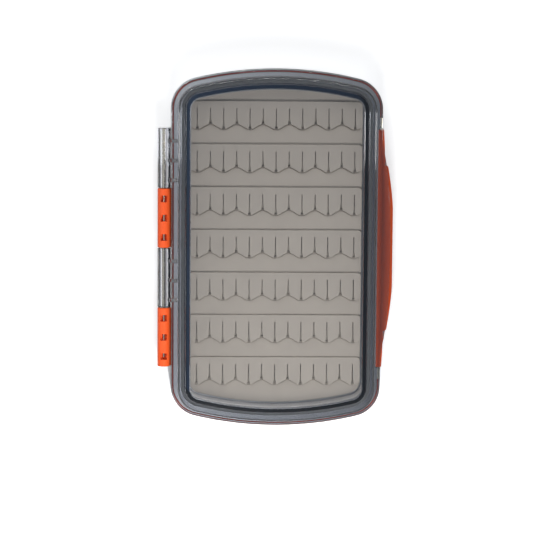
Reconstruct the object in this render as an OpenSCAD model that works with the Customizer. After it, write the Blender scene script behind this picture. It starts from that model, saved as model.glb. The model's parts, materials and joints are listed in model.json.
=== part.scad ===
// Pocket case for fishing flies: a clear tray, a clear hinged lid with an orange latch,
// two seals and a slit silicone insert. The case lies on its back, lid up (+Z), with the
// hinge at -X and the latch at +X. The origin is the middle of its bounding box, at the floor.

/* [Case outline] */
// Width of the rims, side to side
case_w = 100; // [80:1:130]
// Length of the rims, arched end to arched end
case_l = 170; // [140:1:210]
// Height of the closed case
case_h = 32; // [30:0.5:45]
// Radius of each arched end
end_r = 166; // [130:1:240]
// Radius of the corners of the rims
corner_r = 14.5; // [11:0.5:20]
// Height of the parting plane, where lid and tray meet
rim_z = 20; // [18:0.5:24]

/* [Tray] */
// How far the tray's flange stands out past the lid's
tray_out = 0.5; // [0.2:0.1:1.4]
// How far the tray's wall stands in from the rim's edge
tray_inset = 5.2; // [5:0.1:7]
// Thickness of the tray's wall
tray_wall = 2.4; // [2:0.1:3.5]
// Thickness of the tray's floor
tray_floor = 2.4; // [1.5:0.1:4]
// Thickness of the tray's flange
tray_flange_t = 4.6; // [4:0.1:6]
// Rounding of the tray's bottom edge
tray_edge_r = 3.2; // [1:0.1:5]
// Rounding where the tray's wall meets its floor, inside
tray_fillet_r = 0.8; // [0.4:0.1:1]

/* [Lid] */
// Thickness of the lid's flange
lid_flange_t = 4.5; // [4:0.1:6]
// How far the raised window's wall stands in from the rim's edge
lid_inset = 3.1; // [2.9:0.1:3.6]
// Thickness of the wall round the window
lid_wall = 3.7; // [3:0.1:4]
// Thickness of the window
window_t = 2.2; // [1.5:0.1:3]
// Rounding of the window's top edge
window_edge_r = 1.3; // [0.6:0.1:3]
// Width of the slope inside, where the wall meets the window
window_slope = 2.2; // [1:0.1:2.6]
// Rounding of both flanges' outer edges
flange_edge_r = 0.5; // [0.2:0.1:0.8]
// Gap between the closed lid and the tray
lid_gap = 0.1; // [0.05:0.05:0.3]

/* [Seals] */
// Width of the edge seal across its section
seal_w = 0.6; // [0.5:0.1:1.6]
// Thickness of the edge seal
seal_t = 1.0; // [0.6:0.1:1.2]
// How far the edge seal lies in from the rims' edge
seal_inset = 0.5; // [0.2:0.05:0.8]
// How far the gasket lies in from the rim's edge
gasket_inset = 4.6; // [4.2:0.1:5]
// Width of the gasket
gasket_w = 1.7; // [1.2:0.1:1.8]
// Height of the gasket
gasket_h = 1.6; // [1:0.1:1.8]
// Depth of the gasket's groove
groove_depth = 2; // [1.9:0.1:2.4]
// Side clearance of a seal in its groove
seal_clear = 0.05; // [0.02:0.01:0.1]

/* [Insert] */
// Gap between the insert and the tray's wall
insert_gap = 0.4; // [0.4:0.1:1.5]
// Thickness of the insert's back
insert_t = 2.4; // [1.5:0.1:4]
// Thickness of the tape that holds the insert down
tape_t = 0.2; // [0.1:0.05:0.5]
// How far the tape stays in from the insert's edge
tape_margin = 2; // [1:0.5:5]
// Number of slit ridges
rows = 7; // [3:1:8]
// Distance from ridge to ridge
row_pitch = 20.7; // [18:0.1:22]
// Distance from the insert's middle to the middle of the row of ridges
row_shift = 0.8; // [-2:0.1:3]
// Length of a ridge from its back edge to its longest scallop
ridge_l = 13.4; // [11:0.1:16]
// Height of a ridge's back edge above the insert's back
ridge_back_h = 1.5; // [0.8:0.1:2.5]
// Height of a ridge's front edge above the insert's back
ridge_front_h = 3; // [2:0.1:4]
// Gap between a ridge's ends and the insert's sides
ridge_end_gap = 0.2; // [0.2:0.1:1.5]
// Depth of the scallops in a ridge's front edge
scallop_depth = 2.5; // [1:0.1:4]
// Number of slits in a ridge
slits = 13; // [5:2:13]
// Distance from slit to slit
slit_pitch = 6.33; // [5:0.05:6.5]
// Width of a slit
slit_w = 0.35; // [0.2:0.05:0.6]
// Width of a slit's flared mouth
slit_mouth_w = 1.1; // [0.8:0.1:2]
// Length of a slit's flared mouth
slit_mouth_l = 2.6; // [1.5:0.1:5]
// Solid strip between a ridge's back edge and its slits
slit_start = 3.4; // [2:0.1:5]

/* [Hinge] */
// Diameter of the hinge barrels
barrel_d = 6.2; // [5:0.1:7]
// Gap between the barrels and the rims' edge
barrel_gap = 0.5; // [0.3:0.05:0.6]
// Diameter of the hinge pin
pin_d = 1.7; // [1.2:0.1:2.2]
// Radial running clearance of both pins in their bores
pin_clear = 0.05; // [0.02:0.01:0.08]
// Length of each of the four barrels, with its gap
barrel_pitch = 28.6; // [24:0.1:32]
// Gap between two barrels
barrel_end_gap = 0.3; // [0.2:0.05:0.6]
// How far the hinge pin ends short of the lower barrel's end
pin_short = 4.4; // [1:0.1:8]
// Width of the square windows in the tray's barrels
slot_w = 3.1; // [2:0.1:3.6]
// Length of the square windows along the barrel
slot_l = 3.2; // [2:0.1:4.5]
// Distance from window to window
slot_pitch = 9.2; // [7:0.1:9.5]
// Thickness of the foot that holds a barrel to the tray
foot_t = 1.5; // [1:0.1:1.8]
// How far a foot reaches into the tray's flange
foot_reach = 0.8; // [0.6:0.1:3.4]
// Thickness of a gusset on the lid's knuckles
gusset_t = 1.9; // [1:0.1:3]
// Distance from gusset to gusset
gusset_pitch = 9.3; // [7:0.1:9.5]
// Distance from the middle of a knuckle to its middle gusset
gusset_shift = 1.1; // [0:0.1:2]
// Height of a gusset's upper end above the lid's flange
gusset_rise = 3; // [1:0.1:4]
// Depth of the pockets between the gussets
core_depth = 1.8; // [0.5:0.1:2.5]
// Wall left round those pockets
core_wall = 1.2; // [0.8:0.1:2]
// How far the rail under the barrels stands out from the rim's edge
rail_out = 1.9; // [1.4:0.1:2]
// Length of the tapered tail of that rail, below the lowest barrel
rail_tail = 10; // [6:0.5:14]

/* [Latch] */
// Length of the latch, with its end gaps
latch_l = 114.2; // [100:0.2:120]
// Gap at each end of the latch, and over its barrel
latch_gap = 0.3; // [0.2:0.05:0.5]
// Diameter of the latch's barrel
latch_barrel_d = 2.6; // [2.4:0.1:2.8]
// Diameter of the latch's pin
latch_pin_d = 1.2; // [1:0.1:1.3]
// How far the latch's axis lies inside the rim's edge
latch_axis_in = 0.6; // [0.4:0.05:0.8]
// Length of each ear that holds the latch's pin
ear_l = 7.9; // [6:0.1:9]
// How far the latch's pin reaches into each ear
ear_hold = 5.6; // [3:0.1:5.6]
// How far the ears stand out from the rim's edge
ear_out = 0.1; // [0.1:0.1:1.2]
// How far the ends of the brow over the latch stand out from the rim's edge
brow_out = 0.2; // [0.1:0.1:1.2]
// How much further the thumb lip stands out in the middle
lip_out = 3.9; // [2:0.1:4.2]
// Length of the thumb lip
lip_l = 100; // [70:1:104]
// How far the latch's strip stands out from the rim's edge
strip_out = 1.5; // [1.3:0.1:1.8]
// How much less the strip stands out at its two ends
strip_taper = 0.7; // [0:0.1:0.7]
// How far the latch's grip stands out from the rim's edge
grip_out = 6; // [5:0.1:6.5]
// How far the grip's two ends stand out
grip_end_out = 3.2; // [2.5:0.1:4]
// Length of the grip
grip_l = 79; // [64:1:88]
// Length of the grip's full part
grip_flat = 36; // [20:1:50]
// How far the latch's toe reaches in past its back
toe_in = 0.2; // [0.1:0.05:0.25]
// Height of the latch's lower edge above the floor
latch_low_z = 13; // [11:0.5:14]
// Wall of the latch round its finger hollow
latch_wall = 1.4; // [1:0.1:1.8]
// Length of the finger hollow
hollow_l = 56; // [30:1:60]

/* [Hidden] */
$fn = 48;
eps = 0.01;  // how far a cut runs past the face it opens
big = 400;   // longer than anything here

// Outlines, all drawn about the middle of the rims
end_steps = 6;    // straight pieces in half of an arched end
corner_steps = 8; // straight pieces in a corner

// Heights
lid_z = rim_z + lid_gap;
lid_flange_top = lid_z + lid_flange_t;
tray_flange_z = rim_z - tray_flange_t;
insert_z = tray_floor + tape_t;
ridge_z = insert_z + insert_t;

// Insets from the rim's edge
tray_in = tray_inset + tray_wall;
lid_in = lid_inset + lid_wall;
insert_in = tray_in + insert_gap;

// Hinge
barrel_r = barrel_d / 2;
hinge_x = -(case_w / 2 + barrel_gap + barrel_r);
bore_r = pin_d / 2 + pin_clear;
hinge_l = 4 * barrel_pitch;
barrel_l = barrel_pitch - barrel_end_gap;
foot_z = rim_z - barrel_r + 0.1;

// The lid's bead, which ends just over the gasket
bead_side = 0.2;
bead_z = rim_z - groove_depth + gasket_h + lid_gap;

// Latch
latch_x = case_w / 2 - latch_axis_in;
latch_r = latch_barrel_d / 2;
latch_z = rim_z + latch_gap + latch_r + eps;
latch_bore_r = latch_pin_d / 2 + pin_clear;
pocket_x = latch_x - latch_r - latch_gap;
pocket_top = latch_z + latch_r + latch_gap;
brow_x = case_w / 2 + brow_out;
ear_x = case_w / 2 + ear_out;
grip_x = case_w / 2 + grip_out;
toe_x = case_w / 2 + latch_gap;
latch_back = toe_x + toe_in;
toe_z = tray_flange_z - latch_gap;

// The rims' middle stands beside the origin, because the hinge reaches out further than the latch
body_x = (barrel_r - hinge_x - grip_x) / 2;

// Colours, as the closed case shows them
smoke = [0.62, 0.67, 0.70, 0.35];
orange = [0.93, 0.36, 0.12];
silicone = [0.60, 0.59, 0.55];
gasket_grey = [0.52, 0.51, 0.48];
steel = [0.78, 0.78, 0.76];
tape_white = [0.90, 0.90, 0.88];

// Points of an arc about c, from angle a to angle b, without the first
function arc(c, r, a, b, n) =
    [for (i = [1:n]) let (t = a + (b - a) * i / n) [c[0] + r * cos(t), c[1] + r * sin(t)]];

// A quarter of the rims' outline moved in by d: a straight side, a round corner and half an arched end
function quarter(d) =
    let (far = end_r - case_l / 2,
         cx = case_w / 2 - corner_r,
         cy = sqrt(pow(end_r - corner_r, 2) - cx * cx) - far,
         lean = atan2(cy + far, cx))
    concat([[case_w / 2 - d, cy]],
           arc([cx, cy], corner_r - d, 0, lean, corner_steps),
           arc([0, -far], end_r - d, lean, 90, end_steps));
function flip(pts, sx, sy) = [for (p = pts) [p[0] * sx, p[1] * sy]];
function reversed(pts) = [for (i = [len(pts) - 1:-1:0]) pts[i]];
function without_last(pts) = [for (i = [0:len(pts) - 2]) pts[i]];
function outline(d) =
    let (q = quarter(d), side = without_last(q))
    concat(q, reversed(flip(side, -1, 1)), flip(q, -1, -1), reversed(flip(side, 1, -1)));

// A slab of the outline moved in by d, from height z to height z + h
module slab(d, z, h) {
    translate([0, 0, z]) linear_extrude(h) polygon(outline(d));
}

// A solid whose outline changes as it rises, through steps of [inset, height]
module rounded(steps) {
    loops = [for (s = steps) outline(s[0])];
    n = len(loops[0]);
    top = len(steps) - 1;
    points = [for (k = [0:top]) for (p = loops[k]) [p[0], p[1], steps[k][1]]];
    sides = [for (k = [0:top - 1]) for (i = [0:n - 1])
        let (j = (i + 1) % n) [k * n + i, (k + 1) * n + i, (k + 1) * n + j, k * n + j]];
    polyhedron(points, concat([[for (i = [0:n - 1]) i]], sides, [[for (i = [n - 1:-1:0]) top * n + i]]));
}

// Steps of a quarter round of radius r: up from a face at height z to the side, or from the side to a face
function round_foot(d, z, r) = [for (a = [90:-18:0]) [d + r * (1 - cos(a)), z + r * (1 - sin(a))]];
function round_head(d, z, r) = [for (a = [0:18:90]) [d + r * (1 - cos(a)), z - r * (1 - sin(a))]];

// A bar along Y whose section is drawn with its x and z
module bar(length, middle = 0) {
    translate([0, middle + length / 2, 0]) rotate([90, 0, 0]) linear_extrude(length) children();
}

// A round bar along Y at [x, z]
module rod(x, z, r, y0, y1) {
    translate([x, y1, z]) rotate([90, 0, 0]) cylinder(r = r, h = y1 - y0);
}

// Everything is drawn about the middle of the rims and moved to the part's own origin here
module place() {
    translate([body_x, 0, 0]) children();
}

// The clear tray: walls, floor, a flange with a groove and a step for the edge seal, and the barrels' rail
module tray_shell() {
    step_z = rim_z - seal_t;
    color(smoke) place() difference() {
        union() {
            rounded(concat(round_foot(tray_inset, 0, tray_edge_r), [[tray_inset, rim_z]]));
            rounded(concat(round_foot(-tray_out, tray_flange_z, flange_edge_r),
                           round_head(-tray_out, step_z, flange_edge_r)));
            slab(seal_inset + seal_w, tray_flange_z + eps, rim_z - tray_flange_z - eps);
            hinge_rail();
        }
        rounded(concat(round_foot(tray_in, tray_floor, tray_fillet_r), [[tray_in, rim_z + 1]]));
        ring(gasket_inset, gasket_inset + gasket_w, rim_z - groove_depth, groove_depth + 1);
        rod(hinge_x, rim_z, barrel_r + barrel_gap, -hinge_l / 2 - barrel_gap, hinge_l / 2 + barrel_gap);
        bar(latch_l) translate([case_w / 2, tray_flange_z - 1]) square(tray_flange_t + 2);
        for (i = [1, 3]) foot_slot(i);
    }
}

// The rail that carries the feet of the barrels, with a tapered tail below the lowest one
module hinge_rail() {
    edge = case_w / 2;
    translate([0, 0, tray_flange_z]) linear_extrude(foot_z - tray_flange_z)
        polygon([[1 - edge, hinge_l / 2], [-edge - rail_out, hinge_l / 2], [-edge - rail_out, -hinge_l / 2],
                 [-edge - tray_out / 2, -hinge_l / 2 - rail_tail], [1 - edge, -hinge_l / 2 - rail_tail]]);
}

// Middle of barrel i along the hinge, counted from the top
function barrel_y(i) = hinge_l / 2 - (i + 0.5) * barrel_pitch;

// The slot that holds the foot of barrel i
module foot_slot(i) {
    out = rail_out + 1;
    translate([-case_w / 2 - out, barrel_y(i) - barrel_l / 2 - seal_clear, foot_z])
        cube([foot_reach + out + seal_clear, barrel_l + 2 * seal_clear, foot_t + seal_clear]);
}

// The clear lid: a flange, a raised window, a bead that presses on the gasket, two knuckles,
// and the brow and ears that hold the latch
module lid_shell() {
    color(smoke) place() difference() {
        union() {
            rounded(concat(round_foot(0, lid_z, flange_edge_r),
                           round_head(0, lid_flange_top, flange_edge_r)));
            rounded(concat([[lid_inset, lid_z]], round_head(lid_inset, case_h, window_edge_r)));
            ring(gasket_inset + bead_side, gasket_inset + gasket_w - bead_side, bead_z, lid_z - bead_z + 1);
            brow();
            for (s = [-1, 1]) ear(s);
            for (i = [0, 2]) knuckle(i);
        }
        rounded([[lid_in, lid_z - 1], [lid_in, case_h - window_t - window_slope],
                 [lid_in + window_slope, case_h - window_t]]);
        bar(latch_l) translate([pocket_x, lid_z - 1]) square([big, pocket_top - lid_z + 1]);
        rod(latch_x, latch_z, latch_bore_r, -latch_l / 2 - ear_hold, latch_l / 2 + ear_hold);
        rod(hinge_x, rim_z, bore_r, -hinge_l, hinge_l);
    }
}

// A ring between two insets
module ring(d0, d1, z, h) {
    difference() {
        slab(d0, z, h);
        slab(d1, z - eps, h + 2 * eps);
    }
}

// Knuckle i of the lid: a barrel, an arm over the tray's rim, three gussets and pockets between them
module knuckle(i) {
    y = barrel_y(i);
    arm_x = 1 - case_w / 2;
    arm_top = rim_z + barrel_r - eps;
    middle = y - gusset_shift;
    difference() {
        union() {
            rod(hinge_x, rim_z, barrel_r, y - barrel_l / 2, y + barrel_l / 2);
            bar(barrel_l, y)
                polygon([[hinge_x, lid_z], [arm_x, lid_z], [arm_x, arm_top], [hinge_x, arm_top]]);
        }
        for (k = [-1.5:1:1.5]) core_pocket(middle + k * gusset_pitch, y);
    }
    for (k = [-1:1]) gusset(middle + k * gusset_pitch);
}

// A pocket between two gussets, kept inside the ends of the knuckle at y and beside its bore
module core_pocket(middle, y) {
    half = (gusset_pitch - gusset_t) / 2;
    low = max(middle - half, y - barrel_l / 2 + core_wall);
    high = min(middle + half, y + barrel_l / 2 - core_wall);
    inner = hinge_x + bore_r + core_wall / 2;
    outer = -case_w / 2 - core_wall / 4;
    translate([inner, low, rim_z + barrel_r - core_depth]) cube([outer - inner, high - low, core_depth + 1]);
}

// A sloping rib from the knuckle up to the window's wall
module gusset(y) {
    foot = hinge_x + barrel_r / 2;
    head = lid_inset + lid_wall / 2 - case_w / 2;
    low = rim_z + barrel_r / 2;
    bar(gusset_t, y)
        polygon([[foot, low], [head, low], [head, lid_flange_top + gusset_rise], [foot, rim_z + barrel_r]]);
}

// One ear of the lid, which holds an end of the latch's pin
module ear(s) {
    near = latch_l / 2;
    far = near + ear_l;
    taper = ear_l / 4;
    translate([0, 0, lid_z]) linear_extrude(lid_flange_t)
        polygon([[pocket_x - 1, s * near], [ear_x, s * near],
                 [ear_x, s * (far - taper)], [case_w / 2 - 1, s * (far + taper)]]);
}

// How far out the brow's edge lies at y: straight at its ends, with the thumb lip's lens between them
function brow_edge(y) = brow_x + lip_out * (1 - pow(min(1, abs(2 * y / lip_l)), 3));

// The lid's brow, a thin roof over the latch
module brow() {
    half = latch_l / 2 + 1;
    inner = pocket_x - 1;
    edge = [for (k = [-24:24]) let (y = half * k / 24) [brow_edge(y), y]];
    translate([0, 0, pocket_top]) linear_extrude(lid_flange_top - pocket_top)
        polygon(concat([[inner, -half]], edge, [[inner, half]]));
}

// Middle of ridge i along Y, counted from the top
function ridge_y(i) = row_shift + ((rows - 1) / 2 - i) * row_pitch;

// Where a ridge's front edge lies at x, down from its back edge, in soft waves two slits long
function front_edge(x) = ridge_l - scallop_depth * (1 - cos(180 * x / slit_pitch)) / 2;

// One slit with its flared mouth
module slit(x) {
    front = front_edge(x);
    w = slit_w / 2;
    m = slit_mouth_w / 2;
    translate([x, 0, 0]) linear_extrude(big)
        polygon([[-w, -slit_start], [w, -slit_start], [w, slit_mouth_l - front], [m, -front - 1],
                 [-m, -front - 1], [-w, slit_mouth_l - front]]);
}

// One ridge: it rises from its back edge to its scalloped front, and is slit from near the back to the front
module ridge(i) {
    half = ceil(case_w / slit_pitch / 2);
    scallops = [for (k = [-4 * half:4 * half]) let (x = slit_pitch * k / 4) [x, -front_edge(x)]];
    intersection() {
        slab(insert_in + ridge_end_gap, ridge_z - eps, ridge_front_h + 1);
        translate([0, ridge_y(i) + ridge_l / 2, ridge_z - eps]) difference() {
            intersection() {
                linear_extrude(ridge_front_h + 1)
                    polygon(concat(scallops, [[half * slit_pitch, 0], [-half * slit_pitch, 0]]));
                rotate([90, 0, 90]) linear_extrude(big, center = true)
                    polygon([[0, 0], [0, ridge_back_h], [-ridge_l - 1, ridge_front_h], [-ridge_l - 1, 0]]);
            }
            translate([0, 0, 2 * eps])
                for (k = [0:slits - 1]) slit((k - (slits - 1) / 2) * slit_pitch);
        }
    }
}

// The silicone insert: a soft back with slit ridges that the hooks are pushed into
module slit_insert() {
    color(silicone) place() {
        slab(insert_in, insert_z, insert_t);
        for (i = [0:rows - 1]) ridge(i);
    }
}

// The double-sided tape that holds the insert to the tray's floor
module insert_tape() {
    color(tape_white) place() slab(insert_in + tape_margin, tray_floor, tape_t);
}

// The gasket in the tray's groove, which the lid's bead presses on
module rim_gasket() {
    color(gasket_grey) place()
        ring(gasket_inset + seal_clear, gasket_inset + gasket_w - seal_clear, rim_z - groove_depth, gasket_h);
}

// The orange seal round the rim, which shows as a line all round the case
module edge_seal() {
    color(orange) place() ring(seal_inset, seal_inset + seal_w - seal_clear, rim_z - seal_t, seal_t);
}

// Barrel i of the tray, with its square windows and the foot that the tray's flange holds
module tray_barrel(i) {
    y = barrel_y(i);
    color(orange) place() difference() {
        union() {
            rod(hinge_x, rim_z, barrel_r, y - barrel_l / 2, y + barrel_l / 2);
            translate([hinge_x, y - barrel_l / 2, foot_z])
                cube([foot_reach - case_w / 2 - hinge_x, barrel_l, foot_t]);
        }
        rod(hinge_x, rim_z, bore_r, y - barrel_l, y + barrel_l);
        for (k = [-1:1])
            translate([hinge_x - slot_w / 2, y + k * slot_pitch - slot_l / 2, rim_z])
                cube([slot_w, slot_l, barrel_d]);
    }
}
module upper_hinge_barrel() {
    tray_barrel(1);
}
module lower_hinge_barrel() {
    tray_barrel(3);
}

// The steel pin through all four barrels
module hinge_pin() {
    color(steel) place()
        rod(hinge_x, rim_z, pin_d / 2, pin_short - hinge_l / 2, hinge_l / 2 - barrel_end_gap);
}

// How far out the latch's strip lies at y: it draws in towards its two ends
function strip_edge(y) =
    let (t = max(0, abs(y) - grip_l / 2) / (latch_l / 2 - grip_l / 2))
    case_w / 2 + strip_out - strip_taper * t * t;

// How far out the latch's grip lies at y: full in the middle, falling away to both ends
function grip_edge(y) =
    let (t = max(0, (abs(y) - grip_flat / 2) / (grip_l / 2 - grip_flat / 2)))
    grip_x - (grip_out - grip_end_out) * pow(t, 1.5);

// An outline from above: from x = inner out to the points of an edge
module plan(inner, edge) {
    polygon(concat([[inner, edge[0][1]]], edge, [[inner, edge[len(edge) - 1][1]]]));
}
function strip_points(length) = [for (k = [-24:24]) let (y = length / 2 * k / 24) [strip_edge(y), y]];
function grip_points(length, d) = [for (k = [-20:20]) let (y = length / 2 * k / 20) [grip_edge(y) - d, y]];

// The orange latch: a barrel on its pin, a strip along the rim and a bowed grip with a finger hollow under it
module latch() {
    length = latch_l - 2 * latch_gap;
    shoulder = [latch_x + latch_r * cos(45), latch_z + latch_r * sin(45)];
    outer = grip_x + 1;
    chamfer = latch_wall;
    hollow_top = shoulder[1] - (grip_x - shoulder[0]) - latch_wall;
    color(orange) place() difference() {
        union() {
            rod(latch_x, latch_z, latch_r, -length / 2, length / 2);
            intersection() {
                bar(length + 1) latch_section(shoulder, outer, chamfer);
                translate([0, 0, latch_low_z]) linear_extrude(case_h) {
                    plan(latch_x - latch_r, strip_points(length));
                    plan(latch_back + eps, grip_points(grip_l, 0));
                }
            }
        }
        translate([0, 0, latch_low_z - 1]) linear_extrude(hollow_top - latch_low_z + 1)
            plan(latch_back + latch_wall, grip_points(hollow_l, latch_wall));
        rod(latch_x, latch_z, latch_bore_r, -latch_l, latch_l);
    }
}

// The latch's section: over the rim's edge at 45 degrees, down its outside, and back up behind the toe
module latch_section(shoulder, outer, chamfer) {
    polygon([[latch_x, latch_z], shoulder, [outer, shoulder[1] - (outer - shoulder[0])],
             [outer, latch_low_z + chamfer], [grip_x - chamfer, latch_low_z], [latch_back, latch_low_z],
             [toe_x, latch_low_z + chamfer / 2], [toe_x, toe_z - latch_gap], [latch_back, toe_z],
             [latch_back, latch_z - latch_r], [latch_x, latch_z - latch_r]]);
}

// The steel pin that the latch turns on
module latch_pin() {
    reach = latch_l / 2 + ear_hold - pin_clear;
    color(steel) place() rod(latch_x, latch_z, latch_pin_d / 2, -reach, reach);
}

tray_shell();
lid_shell();
slit_insert();
insert_tape();
rim_gasket();
edge_seal();
upper_hinge_barrel();
lower_hinge_barrel();
hinge_pin();
latch();
latch_pin();
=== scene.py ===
# %% [markdown]
# # A pocket fly box
#
# The box is a shallow clear tray and a clear lid with a raised window. A grey silicone insert
# with slit ridges lies in the tray and holds the flies. Two orange barrels and a steel pin make
# the hinge, an orange latch closes the other side, and a thin orange seal and a grey gasket
# keep the water out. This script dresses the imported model, piece by piece, with Blender's own
# modelling operators. It starts by loading that model as a fixed frame: every piece is drawn
# in the same metres, and rides on one of its bodies.

# %% Load the frame
import json
import math

import bmesh
import bpy
from mathutils import Matrix, Vector


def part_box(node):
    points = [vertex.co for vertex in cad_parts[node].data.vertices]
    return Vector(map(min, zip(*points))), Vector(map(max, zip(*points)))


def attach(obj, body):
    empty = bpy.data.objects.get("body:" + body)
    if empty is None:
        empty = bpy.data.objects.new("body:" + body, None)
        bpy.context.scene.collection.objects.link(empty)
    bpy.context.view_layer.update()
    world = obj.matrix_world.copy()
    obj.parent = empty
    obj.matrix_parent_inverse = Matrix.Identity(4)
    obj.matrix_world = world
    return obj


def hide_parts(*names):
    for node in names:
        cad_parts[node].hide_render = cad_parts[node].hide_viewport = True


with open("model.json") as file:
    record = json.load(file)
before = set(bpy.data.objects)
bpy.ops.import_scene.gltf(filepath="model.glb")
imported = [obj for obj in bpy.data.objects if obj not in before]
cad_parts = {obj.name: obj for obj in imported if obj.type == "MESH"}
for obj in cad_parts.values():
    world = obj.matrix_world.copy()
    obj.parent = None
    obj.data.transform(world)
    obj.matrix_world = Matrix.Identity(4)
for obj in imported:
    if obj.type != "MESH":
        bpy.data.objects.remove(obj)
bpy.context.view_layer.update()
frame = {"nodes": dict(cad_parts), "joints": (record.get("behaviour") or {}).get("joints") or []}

MM = 0.001
joints = {joint["name"]: joint for joint in frame["joints"]}

# %% [markdown]
# ## Sizes
#
# The big sizes are read from the frame, so the looks always fit the model: the seal gives the
# rims' width and middle, the lid its length and height, and the two joints the hinge's and
# the latch's axes. What the frame can't tell, such as the radius of a corner, is written here
# in millimetres. Everything below is drawn about the middle of the rims, in millimetres, and
# turned to metres when its points are put in place.

# %% Sizes of the case
SEAL_INSET = 0.5  # how far the seal lies in from the rims' edge
seal_low, seal_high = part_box("edge_seal")
lid_low, lid_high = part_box("lid_shell")
RIM_X = (seal_low.x + seal_high.x) / 2 / MM  # where the middle of the rims stands
CASE_W = (seal_high.x - seal_low.x) / MM + 2 * SEAL_INSET
CASE_L = (seal_high.y - seal_low.y) / MM + 2 * SEAL_INSET
CASE_H = lid_high.z / MM
RIM_Z = seal_high.z / MM
END_R = 166  # radius of the arched ends
CORNER_R = 14.5  # radius of the corners
HINGE_X = joints["lid_hinge"]["pos_m"][0] / MM - RIM_X
LATCH_X = joints["latch_swing"]["pos_m"][0] / MM - RIM_X
LATCH_Z = joints["latch_swing"]["pos_m"][2] / MM
print(f"rims {CASE_W:.1f} x {CASE_L:.1f} mm, case {CASE_H:.1f} mm high, hinge at x {HINGE_X:.2f}")

# %% [markdown]
# ## Camera
#
# The photograph was taken from almost straight above, from a long way off, with the camera a
# little past the upper end of the case. A long lens at one metre gives the same slight
# perspective: the wall of the window shows more at one end than at the other. The camera's
# axes are built from the direction it looks in and a small roll.

# %% Put the camera over the case
LENS = 139.86  # focal length in mm, on a 36 mm sensor
CAMERA_DISTANCE = 1.0
CAMERA_TARGET = Vector((-0.00266, -0.01012, 0.024))
CAMERA_LEAN_X = math.radians(-1.65)
CAMERA_LEAN_Y = math.radians(6.3)
CAMERA_ROLL = math.radians(0.415)

towards_camera = Vector((math.sin(CAMERA_LEAN_X),
                         math.sin(CAMERA_LEAN_Y) * math.cos(CAMERA_LEAN_X),
                         math.cos(CAMERA_LEAN_Y) * math.cos(CAMERA_LEAN_X)))
level = (-towards_camera).cross(Vector((0, 1, 0))).normalized()
upright = level.cross(-towards_camera)
camera_right = level * math.cos(CAMERA_ROLL) + upright * math.sin(CAMERA_ROLL)
camera_up = upright * math.cos(CAMERA_ROLL) - level * math.sin(CAMERA_ROLL)
bpy.ops.object.camera_add()
camera = bpy.context.object
camera.name = "camera"
camera.data.lens = LENS
turned = Matrix((camera_right, camera_up, towards_camera)).transposed()
camera.matrix_world = Matrix.LocRotScale(CAMERA_TARGET + towards_camera * CAMERA_DISTANCE, turned, None)
bpy.context.scene.camera = camera
print("camera at", [round(v, 3) for v in camera.location])

# %% [markdown]
# ## Modelling helpers
#
# Most pieces of this case are the same outline, repeated at other heights and other distances
# from the edge. By hand that is a circle whose points are put on the outline, extruded again
# and again. `loft` does just that. Each point carries its number in an integer layer, and
# extruding copies the number, so that every new ring of points can be put in its place.

# %% Start clean, and put numbered points in place
def deselect():
    """Nothing is selected, so that an operator acts only on the piece at hand."""
    if bpy.context.object and bpy.context.object.mode != "OBJECT":
        bpy.ops.object.mode_set(mode="OBJECT")
    bpy.ops.object.select_all(action="DESELECT")


def pick(obj):
    """Makes obj the only selected object, and the active one."""
    deselect()
    obj.select_set(True)
    bpy.context.view_layer.objects.active = obj


def put_points(obj, ring):
    """Moves the selected points of obj, in edit mode, to the points of ring with their numbers."""
    mesh = bmesh.from_edit_mesh(obj.data)
    number = mesh.verts.layers.int["number"]
    for vert in mesh.verts:
        if vert.select:
            x, y, z = ring[vert[number]]
            vert.co = ((x + RIM_X) * MM, y * MM, z * MM)
    bmesh.update_edit_mesh(obj.data)


def loft(name, rings, closed=False):
    """A solid through rings of points. A closed one returns to its first ring, as a gasket does."""
    deselect()
    bpy.ops.mesh.primitive_circle_add(vertices=len(rings[0]), fill_type="NOTHING" if closed else "NGON")
    obj = bpy.context.object
    obj.name = obj.data.name = name
    bpy.ops.object.mode_set(mode="EDIT")
    bpy.ops.mesh.select_all(action="SELECT")
    mesh = bmesh.from_edit_mesh(obj.data)
    number = mesh.verts.layers.int.new("number")
    for k, vert in enumerate(mesh.verts):
        vert[number] = k
    put_points(obj, rings[0])
    for ring in rings[1:] + (rings[:1] if closed else []):
        bpy.ops.mesh.extrude_region_move()
        put_points(obj, ring)
    bpy.ops.mesh.select_all(action="SELECT")
    bpy.ops.mesh.remove_doubles(threshold=1e-7)
    bpy.ops.mesh.normals_make_consistent(inside=False)
    bpy.ops.object.mode_set(mode="OBJECT")
    return obj


# %% [markdown]
# A moulded edge is never sharp, and the small round on it is what catches the light. So a
# section is written as its corners, each with its own radius, and `rounded` turns every corner
# into an arc. The same function rounds a closed section and an open one.

# %% Rounded sections and the outline of the rims
ARC_STEPS = 8  # pieces in a quarter round of 3 mm or more


def rounded(corners, closed=False):
    """The points of a line through corners (a, b, radius), with an arc at every corner that has one."""
    points = []
    last = len(corners) - 1
    for k, (a, b, radius) in enumerate(corners):
        corner = Vector((a, b))
        if radius == 0 or (not closed and k in (0, last)):
            points.append(corner)
            continue
        before = (Vector(corners[k - 1][:2]) - corner).normalized()
        after = (Vector(corners[(k + 1) % len(corners)][:2]) - corner).normalized()
        half = before.angle(after) / 2
        centre = corner + (before + after).normalized() * radius / math.sin(half)
        start = corner + before * radius / math.tan(half) - centre
        end = corner + after * radius / math.tan(half) - centre
        turn = math.pi - 2 * half
        fine = ARC_STEPS if radius >= 3 else 6 if radius >= 1 else 4
        steps = max(2, math.ceil(fine * turn / (math.pi / 2)))
        for i in range(steps + 1):
            share = i / steps
            point = (start * math.sin((1 - share) * turn) + end * math.sin(share * turn)) / math.sin(turn)
            points.append(centre + point)
    return points


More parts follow.
